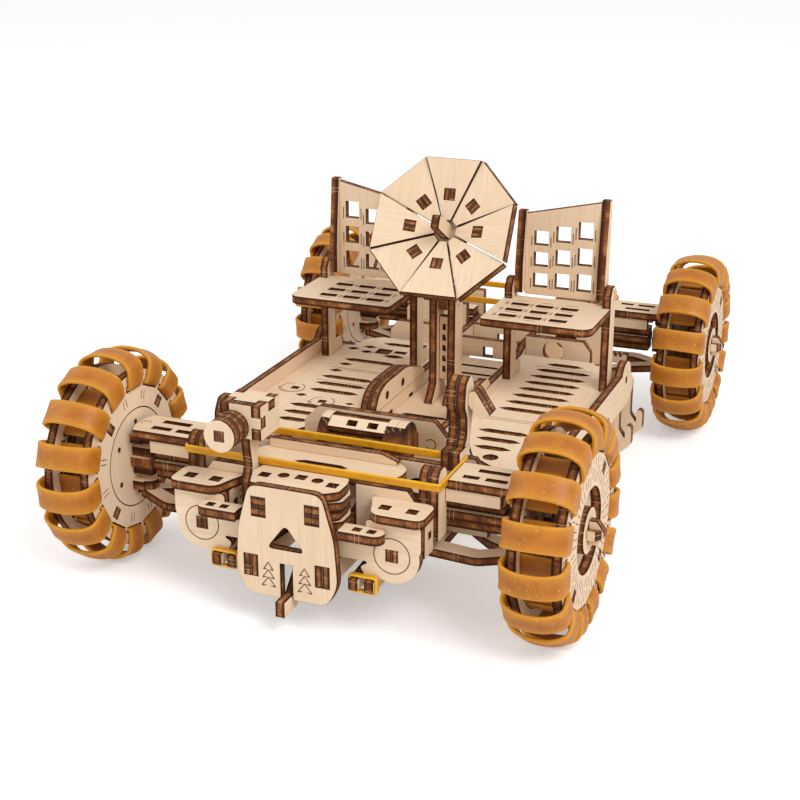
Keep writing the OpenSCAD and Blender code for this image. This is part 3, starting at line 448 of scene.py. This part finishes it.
# %% Strip along a closed path
def closed_strip(centre, side, out, width, thick, curl=0.0, round_steps=3, flat_steps=4):
    """Vertices, faces and rim values of a strip carried round a closed path of n points. At each
    point the section is a rounded rectangle: a across it from -width / 2 to width / 2, and b
    through it, raised at both edges by curl * (2 a / width)^2. A section point is
    centre + a side + b out."""
    width = np.broadcast_to(width, len(centre))
    curl = np.broadcast_to(curl, len(centre))
    radius = thick / 2
    angles = np.linspace(-math.pi / 2, math.pi / 2, 2 * round_steps + 1)
    run = np.linspace(1, -1, flat_steps + 2)[1:-1]
    # each section point as (share of the flat half width, rounding across, height)
    right = np.stack([np.ones_like(angles), radius * np.cos(angles), radius * np.sin(angles)],
                     axis=1)
    top = np.stack([run, np.zeros_like(run), np.full_like(run, radius)], axis=1)
    half = np.concatenate([right, top])
    section = np.concatenate([half, -half])
    across = section[None, :, 0] * (width[:, None] / 2 - radius) + section[None, :, 1]
    share = across / (width[:, None] / 2)
    height = section[None, :, 2] + curl[:, None] * share ** 2
    ring = (centre[:, None, :] + across[..., None] * side[:, None, :]
            + height[..., None] * out[:, None, :])
    n, m = across.shape
    i, j = np.meshgrid(np.arange(n), np.arange(m), indexing="ij")

    def at(a, b):
        """The vertex at path point a and section point b, both counted round."""
        return (a % n) * m + b % m

    faces = np.stack([at(i, j), at(i + 1, j), at(i + 1, j + 1), at(i, j + 1)], axis=-1)
    return ring.reshape(-1, 3), faces.reshape(-1, 4), np.abs(share).ravel()


def mesh_object(name, points, faces, material, smooth=True, rim=None):
    """A mesh object at the origin, with its place in its vertices and its normals outward."""
    mesh = bpy.data.meshes.new(name)
    mesh.from_pydata(np.asarray(points).tolist(), [], np.asarray(faces).tolist())
    bm = bmesh.new()
    bm.from_mesh(mesh)
    bmesh.ops.recalc_face_normals(bm, faces=bm.faces)
    bm.to_mesh(mesh)
    bm.free()
    mesh.polygons.foreach_set("use_smooth", [smooth] * len(mesh.polygons))
    if rim is not None:
        mesh.attributes.new("rim", "FLOAT", "POINT").data.foreach_set("value", rim)
    mesh.materials.append(material)
    made = bpy.data.objects.new(name, mesh)
    bpy.context.scene.collection.objects.link(made)
    return made


def join_strips(strips):
    """Several strips as one mesh's points, faces and rim values."""
    starts = np.cumsum([0] + [len(points) for points, _, _ in strips[:-1]])
    return (np.concatenate([points for points, _, _ in strips]),
            np.concatenate([faces + start for (_, faces, _), start in zip(strips, starts)]),
            np.concatenate([rim for _, _, rim in strips]))


def ring_frame(centre, side):
    """Outward directions at the points of a closed path, square to the path and to side."""
    step = np.roll(centre, -1, axis=0) - np.roll(centre, 1, axis=0)
    out = np.cross(step, side)
    out /= np.linalg.norm(out, axis=1)[:, None]
    facing = (out * (centre - centre.mean(axis=0))).sum()
    return out * np.sign(facing)


# %% The bands of one tyre
TREAD_N = 15
TREAD_W = 8.0 * MM
TREAD_T = 1.3 * MM
WHEEL_R = 35.0 * MM
wheel_low, wheel_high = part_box("tread_fr")
BAND_HALF = (wheel_high[0] - wheel_low[0]) / 2  # half the loop's way along the axle
BAND_FOOT = WHEEL_R - 11.8 * MM  # where the loop passes through the rim's slots
CROWN_R = 14.0 * MM
CORNER_POWER = 14  # the higher, the tighter the loop's corners
SPREAD, SLACK = 0.1, 0.03  # shares of the width gained over the discs, and lost everywhere
EDGE_CURL = 0.35 * MM


def band_path(steps=72, inset=TREAD_T / 2):
    """The band's middle line as (axial, radial) points: where the ray at angle t from the middle
    of the loop leaves the dome of radius CROWN_R, cut by a box, with corners eased by a blend of
    the two distances, r = (a^-p + b^-p)^(-1/p)."""
    t = np.linspace(0, 2 * math.pi, steps, endpoint=False)
    direction = np.stack([np.sin(t), np.cos(t)], axis=1)
    half = BAND_HALF - inset
    top = WHEEL_R - inset
    foot = BAND_FOOT + inset
    middle = (top + foot) / 2
    tall = (top - foot) / 2
    power = CORNER_POWER
    box = 1 / (np.abs(direction[:, 0] / half) ** power
               + np.abs(direction[:, 1] / tall) ** power) ** (1 / power)
    offset = middle - (WHEEL_R - CROWN_R)
    crown = CROWN_R - inset
    along = direction[:, 1] * offset
    dome = -along + np.sqrt(along ** 2 - offset ** 2 + crown ** 2)
    reach = (box ** -power + dome ** -power) ** (-1 / power)
    return direction * reach[:, None] + np.array([0, middle])


def tyre(corner):
    """Fifteen bands of one wheel. Band k stands at k + 1/2 pitches from straight down; each leans
    a little, as hand-fitted bands do. Where a band bends over the rim discs it spreads and its
    edges curl up, by a share that grows as the fourth power of the way to the disc."""
    random = np.random.default_rng(7 + CORNERS.index(corner))
    path = band_path()
    shoulder = (np.abs(path[:, 0]) / BAND_HALF) ** 4 * (path[:, 1] > BAND_FOOT + 3 * MM)
    axial = np.array([1.0, 0, 0])
    strips = []
    for k in range(TREAD_N):
        wander = math.radians(random.uniform(-0.25, 0.25))
        angle = 2 * math.pi * (k + 0.5) / TREAD_N + wander
        radial = np.array([0, math.sin(angle), -math.cos(angle)])
        tangent = np.array([0, math.cos(angle), math.sin(angle)])
        lean = random.uniform(-0.02, 0.02)
        centre = path[:, :1] * (axial + lean * tangent) + path[:, 1:] * radial
        side = np.repeat(tangent[None, :], len(path), axis=0)
        wide = TREAD_W * (1 + SPREAD * shoulder - SLACK)
        strips.append(closed_strip(centre, side, ring_frame(centre, side), wide, TREAD_T,
                                   EDGE_CURL * shoulder))
    points, faces, rim = join_strips(strips)
    points = points + np.array(joints["spin_" + corner]["pos_m"])
    made = mesh_object("tyre_" + corner, points, faces, tyre_rubber, rim=rim)
    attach(made, "wheel_" + corner)
    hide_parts("tread_" + corner)


for corner in CORNERS:
    tyre(corner)
print("tyre bands:", 4 * TREAD_N)


# %% [markdown]
# ## Flat rubber bands
# Two long yellow bands are stretched round the posts at each end of the chassis, and small ones
# hold the forked bars. They are thin, so each is a strip round a rounded rectangle.

# %% Long bands round the posts
FLAT_T = 0.8 * MM


def rounded_loop(x0, x1, y0, y1, radius, arc_steps=8, side_steps=14):
    """Points round a rectangle with quarter-circle corners, anticlockwise, as (x, y) rows. The
    straight runs are divided evenly, so a run can sag or twist."""
    centres = [(x1 - radius, y1 - radius, 0), (x0 + radius, y1 - radius, 90),
               (x0 + radius, y0 + radius, 180), (x1 - radius, y0 + radius, 270)]
    rows = []
    for k, (cx, cy, start) in enumerate(centres):
        a = np.radians(start + np.linspace(0, 90, arc_steps))
        arc = np.stack([cx + radius * np.cos(a), cy + radius * np.sin(a)], axis=1)
        nx, ny, nstart = centres[(k + 1) % 4]
        b = math.radians(nstart)
        goal = np.array([nx + radius * math.cos(b), ny + radius * math.sin(b)])
        f = np.linspace(0, 1, side_steps + 2)[1:-1, None]
        rows += [arc, arc[-1] * (1 - f) + goal * f]
    return np.concatenate(rows)


def long_band(node_name):
    """The band on its posts: the loop lies level, and each long run sags by a shallow bow,
    drop * (1 - u^2), where u runs from -1 to 1 across the model."""
    low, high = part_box(node_name)
    half = FLAT_T / 2
    drop, clear = 0.05 * MM, 0.1 * MM
    loop = rounded_loop(low[0] + half, high[0] - half, low[1] + half, high[1] - half, FLAT_T)
    u = loop[:, 0] / high[0]
    height = (low[2] + high[2]) / 2 - drop * (1 - u ** 2)
    centre = np.column_stack([loop, height])
    up = np.repeat(np.array([[0.0, 0, 1]]), len(centre), axis=0)
    strip = closed_strip(centre, up, ring_frame(centre, up), high[2] - low[2] - clear, FLAT_T)
    made = mesh_object("loop_" + node_name, strip[0], strip[1], flat_rubber, rim=strip[2])
    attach(made, "chassis")
    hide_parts(node_name)


for name in ("front_band", "rear_band"):
    long_band(name)


# %% Small bands round the forked bars
def small_bands():
    """One loop a side, round a pair of bars: a rounded rectangle standing across the model."""
    low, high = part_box("spring_bands")
    half = FLAT_T / 2
    inner, bend = 18.0 * MM, 0.9 * MM
    strips = []
    for side_sign in (-1, 1):
        x0, x1 = sorted((side_sign * inner, side_sign * high[0]))
        loop = rounded_loop(x0 + half, x1 - half, low[2] + half, high[2] - half, bend, 5, 5)
        level = np.full(len(loop), (low[1] + high[1]) / 2)
        centre = np.column_stack([loop[:, 0], level, loop[:, 1]])
        side = np.repeat(np.array([[0.0, 1, 0]]), len(centre), axis=0)
        strips.append(closed_strip(centre, side, ring_frame(centre, side), high[1] - low[1],
                                   FLAT_T))
    points, faces, rim = join_strips(strips)
    made = mesh_object("fork_bands", points, faces, flat_rubber, rim=rim)
    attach(made, "chassis")
    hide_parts("spring_bands")


small_bands()


# %% [markdown]
# ## Engraved lines
# The same laser that cuts the sheets also draws on them at low power. Each line is a shallow brown
# groove about a third of a millimetre wide, so it is made as a very thin bar let into the face.
# The marks are plain: chevrons, circles, ticks, dashes and pairs of lines.

# %% Engraving material and bars
def make_burn():
    """The brown of a light laser pass, uneven along the line."""
    material, tree, shader = principled("engraving")
    point = node(tree, "TexCoord").outputs["Object"]
    uneven = flecks(tree, point, scale=900.0, detail=3.0, low=0.3, high=0.7)
    brown = mix_node(tree, uneven, srgb(74, 46, 31), srgb(122, 86, 60))
    tree.links.new(brown, shader.inputs["Base Color"])
    rough = math_node(tree, "ADD", 0.75, math_node(tree, "MULTIPLY", uneven, 0.15))
    tree.links.new(rough, shader.inputs["Roughness"])
    return material


burn = make_burn()


def engrave(name, body, lines, wide=0.34 * MM, proud=0.02 * MM):
    """Thin closed bars along lines, given as rows of (start, end, face normal): each bar runs from
    start to end, wide across, and stands from one proud below the face to one proud above it."""
    start, end, normal = (np.array([row[i] for row in lines], float) for i in range(3))
    along = end - start
    along /= np.linalg.norm(along, axis=1)[:, None]
    across = np.cross(normal, along) * wide / 2
    lift = normal * proud
    corners = [start - across, start + across, end + across, end - across]
    points = np.stack([c + k * lift for k in (-1, 1) for c in corners], axis=1)
    box = np.array([[0, 1, 2, 3], [7, 6, 5, 4], [0, 4, 5, 1],
                    [1, 5, 6, 2], [2, 6, 7, 3], [3, 7, 4, 0]])
    faces = (np.arange(len(lines))[:, None, None] * 8 + box[None]).reshape(-1, 4)
    made = mesh_object(name, points.reshape(-1, 3), faces, burn, smooth=False)
    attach(made, body)


def polyline(points, normal, closed=False):
    """Lines through a row of points on one face."""
    points = [np.array(p, float) for p in points]
    ends = points[1:] + points[:1] if closed else points[1:]
    return [(a, b, normal) for a, b in zip(points, ends)]


def circle_line(centre, radius, normal, start=0, stop=360, steps=36):
    """Lines round an arc of a circle about centre, on a face with that normal."""
    normal = np.array(normal, float)
    u = np.cross(normal, [0, 0, 1.0] if abs(normal[2]) < 0.9 else [1.0, 0, 0])
    u /= np.linalg.norm(u)
    v = np.cross(normal, u)
    angles = np.radians(np.linspace(start, stop, steps + 1))
    points = np.array(centre) + radius * (np.outer(np.cos(angles), u) + np.outer(np.sin(angles), v))
    return polyline(points, normal)


# %% Marks on the body
FRONT, UP, RIGHT = (0, -1, 0), (0, 0, 1), (1, 0, 0)
DECK_RINGS = ((-51.4, -9.5), (-35.1, -19.2))  # x, y in mm
DECK_RULES = ((24, 43, -11.2), (24.6, 41, -13.0), (-48, -25, 17.0), (-46, -26, 15.4),
              (-47, -26, 1.8), (24, 47, 47.0), (-46, -30, -47.6))  # from x, to x, y in mm


def chevrons(y, base):
    """Two columns of three chevrons on the push plate's front face at y, above base. Each is
    smaller than the one below it, with a short foot turned in at both ends."""
    column, first, pitch, half_width, shrink = 5.9, 3.2, 2.7, 2.3, 0.35
    lines = []
    for sign in (-1, 1):
        for k in range(3):
            x, z = sign * column * MM, base + (first + pitch * k) * MM
            size = (half_width - shrink * k) * MM
            peak = z + 0.8 * size + 1.2 * MM
            lines += polyline([(x - size, y, z), (x, y, peak), (x + size, y, z)], FRONT)
            for reach in (-size, size):
                foot = (x + 0.35 * reach, y, z + 0.25 * MM)
                lines += polyline([(x + reach, y, z), foot], FRONT)
    return lines


def body_marks():
    """Chevrons on the push plate, rings round the bracket eyes, rings and rules on the decks,
    arcs and a ring on the drum's end, and a ring and a line on the upright sheet behind it."""
    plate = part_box("push_plate")[0]
    axle_height = joints["spin_fr"]["pos_m"][2]
    lines = chevrons(plate[1], plate[2])
    eye = np.array([31.0 * MM, plate[1] + 6 * MM, axle_height - 7.3 * MM])
    for sign in (-1, 1):
        lines += circle_line(eye * [sign, 1, 1], 5.6 * MM, FRONT)
    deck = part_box("deck_left")[1][2]
    for x, y in DECK_RINGS:
        lines += circle_line((x * MM, y * MM, deck), 4.4 * MM, UP, 20, 340)
        lines += circle_line((x * MM, y * MM, deck), 5.1 * MM, UP, 100, 260)
    for x0, x1, y in DECK_RULES:
        lines += polyline([(x0 * MM, y * MM, deck), (x1 * MM, y * MM, deck)], UP)
    drum_top, drum_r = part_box("drum")[1][2], 7.3 * MM
    end = np.array([19.4 * MM, -72.5 * MM, drum_top - drum_r])
    lines += circle_line(end, 4.6 * MM, RIGHT, 20, 160, 18)
    lines += circle_line(end, 2.2 * MM, RIGHT, 0, 360, 18)
    back = np.array([23.9 * MM, -65.0 * MM, axle_height + 7.6 * MM])
    lines += circle_line(back, 1.7 * MM, FRONT, 30, 330, 18)
    return lines + polyline([back + np.array([-4.4, 0, z]) * MM for z in (3.5, -2.5)], FRONT)


engrave("marks_body", "chassis", body_marks())


# %% Marks on the seats
def pan_marks():
    """Short ticks beside the windows of the seat pans, one across and two along."""
    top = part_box("seat_pans")[1][2]
    first_x, pitch_x, first_y, pitch_y, long = 22.1, 9.2, 3.4, 7.4, 3
    lines = []
    for sign in (-1, 1):
        for i in range(3):
            x = first_x + i * pitch_x
            for j in range(4):
                y = (first_y + j * pitch_y) * MM
                lines += polyline([(sign * (x + dx) * MM, y, top) for dx in (1, 5.2)], UP)
            for j in range(3):
                y = 5 + j * pitch_y
                for dx in (-1.2, -1.9):
                    across = sign * (x + dx) * MM
                    lines += polyline([(across, y * MM, top), (across, (y + long) * MM, top)], UP)
    return lines


engrave("marks_seats", "chassis", pan_marks())


def back_marks(sign):
    """Dashes between the windows of a seat back, on its front face. The windows grow towards the
    back's high side, and the dashes with them."""
    face, seat = 33.0 * MM, mid("seat_pans")[2]
    first_x, pitch_x, first_z, pitch_z, tall = 26.4, 8.2, 6.2, 9.6, 4.4
    lines = []
    for i in range(3):
        x = sign * (first_x + i * pitch_x)
        scale = 0.82 + 0.09 * i
        for j in range(3):
            z = seat + (first_z + j * pitch_z * scale) * MM
            for dx in (-0.9, 6.3):
                place = (x + sign * dx) * MM
                lines += polyline([(place, face, z), (place, face, z + tall * scale * MM)], FRONT)
    return lines


for side_name, sign in (("left", -1), ("right", 1)):
    engrave("marks_back_" + side_name, "seat_back_" + side_name, back_marks(sign))


# %% Marks on the wheels
DISC_FACE = 8  # mm from the wheel's middle to the outer face of either rim disc
TICKS = (18.6, 21.6)  # radii in mm, as are those below
RAYS = ((14.6, 18.2), (15.6, 19.2), (14.2, 17.2))
RAY_GAP, RAY_END = 1.1, 21.8


def wheel_marks(corner):
    """Inside, pairs of ticks round the carrier. Outside, dashed rays, and two short lines
    between the bands."""
    centre = np.array(joints["spin_" + corner]["pos_m"])
    outward = 1.0 if centre[0] > 0 else -1.0
    axis = np.array([outward, 0, 0])
    pitch = 360 / TREAD_N
    lines = []

    def ray(face, radius0, radius1, degrees, offset=0.0):
        """A line from radius0 to radius1 on the disc face, moved sideways by offset."""
        a = math.radians(degrees)
        radial = np.array([0, math.sin(a), -math.cos(a)])
        tangent = np.array([0, math.cos(a), math.sin(a)])
        base = centre + axis * face * MM + tangent * offset * MM
        return [(base + radial * radius0 * MM, base + radial * radius1 * MM, axis * np.sign(face))]

    for k in range(12):
        if k % 3 != 1:
            for offset in (-0.8, 0.8):
                lines += ray(-DISC_FACE, *TICKS, 30 * k + 15, offset)
    for k in range(TREAD_N):
        for step, (inner, outer) in enumerate(RAYS):
            angle = pitch * (k + step / 3)
            lines += ray(DISC_FACE, inner, outer, angle)
            lines += ray(DISC_FACE, outer + RAY_GAP, RAY_END, angle)
        for offset in (-0.07, 0.07):
            lines += ray(DISC_FACE, 22.9, 26.5 + 20 * offset, pitch * (k + offset))
    return lines


for corner in CORNERS:
    engrave("marks_wheel_" + corner, "wheel_" + corner, wheel_marks(corner))


# %% [markdown]
# ## Camera and light
# A model like this is shown on a bright table under large soft lamps. The floor is a pale
# surface that keeps the shadow, and the lamps are set so that a colour renders as it is written.

# %% Camera
LOOK_DOWN, LOOK_ROUND = 20.34, 21.94  # degrees, fitted to the photograph

camera = bpy.data.objects.new("camera", bpy.data.cameras.new("camera"))
bpy.context.scene.collection.objects.link(camera)
camera.location = (0.1773, -0.4718, 0.2188)
camera.rotation_euler = (math.radians(90 - LOOK_DOWN), 0, math.radians(LOOK_ROUND))
camera.data.lens = 66.84
camera.data.sensor_width = 36
bpy.context.scene.camera = camera


# %% Floor and world
AMBIENT = 0.62  # the world's strength for soft light; the camera sees it at 1
GLOSSY = 0.8  # how far reflections follow the camera's share


def make_floor():
    """A large pale plane just below the wheels; it shines a little to the camera alone, which
    keeps it white without putting more light on the model."""
    half = 4.0
    points = [(-half, -half, 0), (half, -half, 0), (half, half, 0), (-half, half, 0)]
    material, tree, shader = principled("pale table")
    shader.inputs["Base Color"].default_value = (0.9, 0.9, 0.9, 1)
    shader.inputs["Roughness"].default_value = 0.9
    glow = node(tree, "Emission", in_Strength=0.35)
    ray = node(tree, "LightPath")
    both = node(tree, "AddShader")
    pick = node(tree, "MixShader")
    tree.links.new(shader.outputs[0], both.inputs[0])
    tree.links.new(glow.outputs[0], both.inputs[1])
    tree.links.new(ray.outputs["Is Camera Ray"], pick.inputs[0])
    tree.links.new(shader.outputs[0], pick.inputs[1])
    tree.links.new(both.outputs[0], pick.inputs[2])
    tree.links.new(pick.outputs[0], tree.nodes["Material Output"].inputs["Surface"])
    floor = mesh_object("table", points, [(0, 1, 2, 3)], material, smooth=False)


make_floor()
world = bpy.data.worlds.new("soft studio")
bpy.context.scene.world = world
world.use_nodes = True
world_tree = world.node_tree
background = world_tree.nodes["Background"]
rays = node(world_tree, "LightPath")
bright = math_node(world_tree, "MAXIMUM", rays.outputs["Is Camera Ray"], math_node(
    world_tree, "MULTIPLY", rays.outputs["Is Glossy Ray"], GLOSSY))
world_tree.links.new(math_node(world_tree, "ADD", AMBIENT, math_node(
    world_tree, "MULTIPLY", bright, 1 - AMBIENT)), background.inputs["Strength"])
background.inputs["Color"].default_value = (1, 1, 1, 1)


# %% Lamps
def softbox(name, place, aim, size, watts):
    """A square area lamp at place, looking at aim."""
    lamp = bpy.data.lights.new(name, "AREA")
    lamp.size = size
    lamp.energy = watts
    made = bpy.data.objects.new(name, lamp)
    bpy.context.scene.collection.objects.link(made)
    z = np.array(place, float) - np.array(aim, float)
    z /= np.linalg.norm(z)
    x = np.cross([0, 0, 1.0], z)
    x /= np.linalg.norm(x)
    y = np.cross(z, x)
    made.matrix_world = Matrix([[x[0], y[0], z[0], place[0]], [x[1], y[1], z[1], place[1]],
                                [x[2], y[2], z[2], place[2]], [0, 0, 0, 1]])


softbox("key", (0.75, -0.55, 0.95), (0, 0, 0.03), 0.6, 9.0)
softbox("fill", (-0.9, -0.6, 0.6), (0, 0, 0.03), 0.8, 3.0)

view = bpy.context.scene.view_settings
view.view_transform = "Standard"
